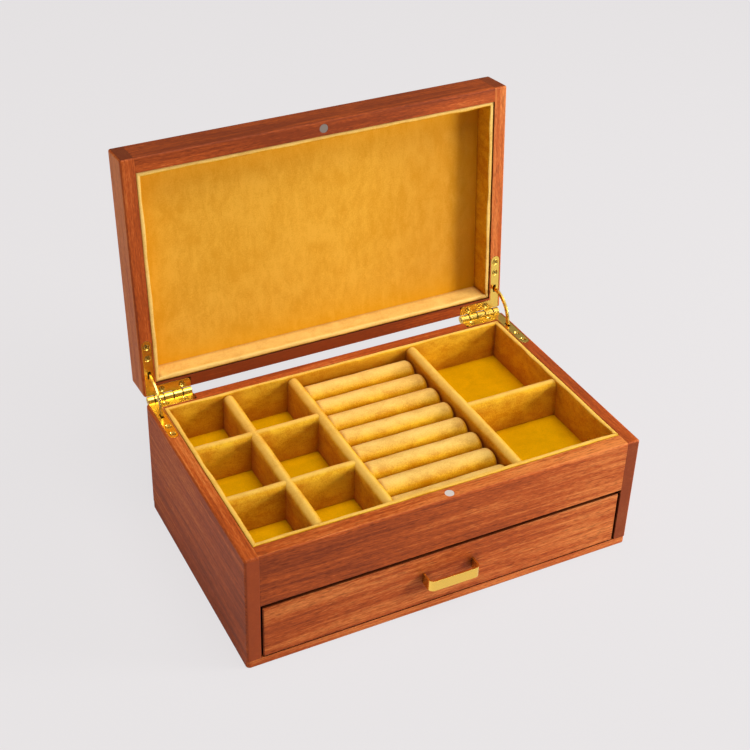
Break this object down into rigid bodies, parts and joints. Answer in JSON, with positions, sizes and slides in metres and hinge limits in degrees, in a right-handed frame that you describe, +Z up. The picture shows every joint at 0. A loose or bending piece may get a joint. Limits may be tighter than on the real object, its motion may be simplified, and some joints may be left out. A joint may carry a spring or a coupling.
{
  "type": "ring box with drawer",
  "caption": "Wooden ring box with a hinged lid on brass quadrant hinges, a divided velvet tray with ring rolls, and a lined drawer with a bar pull below.",
  "frame": {"origin": "centre of the underside of the case", "axes": "+X along the front to the right as seen from the front, +Y from the front to the back, +Z up"},
  "size_m": [0.28, 0.2242, 0.2619],
  "materials": {
    "polished_wood": "red-brown straight-grained wood under satin lacquer",
    "plain_wood": "plain smooth inner wood",
    "velvet": "gold short-pile velvet over board or foam",
    "brass": "polished brass",
    "magnet_steel": "nickel-plated disc magnet"
  },
  "bodies": {
    "case": {"back_board": "polished_wood", "bottom_board": "polished_wood", "case_hinge_leaf_left": "brass", "case_hinge_leaf_right": "brass", "case_magnet": "magnet_steel", "front_rail": "polished_wood", "grid_cross_divider_back": "velvet", "grid_cross_divider_front": "velvet", "grid_divider": "velvet", "hinge_pin_left": "brass", "hinge_pin_right": "brass", "left_side": "polished_wood", "right_cross_divider": "velvet", "right_side": "polished_wood", "ring_divider_left": "velvet", "ring_divider_right": "velvet", "ring_roll_1": "velvet", "ring_roll_2": "velvet", "ring_roll_3": "velvet", "ring_roll_4": "velvet", "ring_roll_5": "velvet", "ring_roll_6": "velvet", "ring_roll_7": "velvet", "ring_roll_8": "velvet", "tray_board": "plain_wood", "tray_floor_velvet": "velvet", "tray_lining_back": "velvet", "tray_lining_front": "velvet", "tray_lining_left": "velvet", "tray_lining_right": "velvet"},
    "lid": {"lid_back_rail": "polished_wood", "lid_floor_velvet": "velvet", "lid_front_rail": "polished_wood", "lid_hinge_leaf_left": "brass", "lid_hinge_leaf_right": "brass", "lid_left_rail": "polished_wood", "lid_lining_back": "velvet", "lid_lining_front": "velvet", "lid_lining_left": "velvet", "lid_lining_right": "velvet", "lid_magnet": "magnet_steel", "lid_right_rail": "polished_wood", "lid_top_panel": "polished_wood"},
    "arm_right": {"quadrant_arm_right": "brass"},
    "arm_left": {"quadrant_arm_left": "brass"},
    "drawer": {"drawer_back": "plain_wood", "drawer_bottom": "plain_wood", "drawer_floor_velvet": "velvet", "drawer_front": "polished_wood", "drawer_lining_back": "velvet", "drawer_lining_front": "velvet", "drawer_lining_left": "velvet", "drawer_lining_right": "velvet", "drawer_pull": "brass", "drawer_side_left": "plain_wood", "drawer_side_right": "plain_wood"}
  },
  "joints": [
    {"name": "lid_hinge", "type": "hinge", "parent": "case", "child": "lid", "pos_m": [0, 0.089, 0.0882], "axis": [1, 0, 0], "range_deg": [0, 95]},
    {"name": "arm_right_swing", "type": "hinge", "parent": "case", "child": "arm_right", "pos_m": [0, 0.089, 0.0882], "axis": [1, 0, 0], "range_deg": [0, 47.5]},
    {"name": "arm_left_swing", "type": "hinge", "parent": "case", "child": "arm_left", "pos_m": [0, 0.089, 0.0882], "axis": [1, 0, 0], "range_deg": [0, 47.5]},
    {"name": "drawer_slide", "type": "slide", "parent": "case", "child": "drawer", "axis": [0, -1, 0], "range_m": [0, 0.13]}
  ],
  "couplings": [
    {"joint": "arm_right_swing", "follows": "lid_hinge", "ratio": 0.5},
    {"joint": "arm_left_swing", "follows": "lid_hinge", "ratio": 0.5}
  ]
}
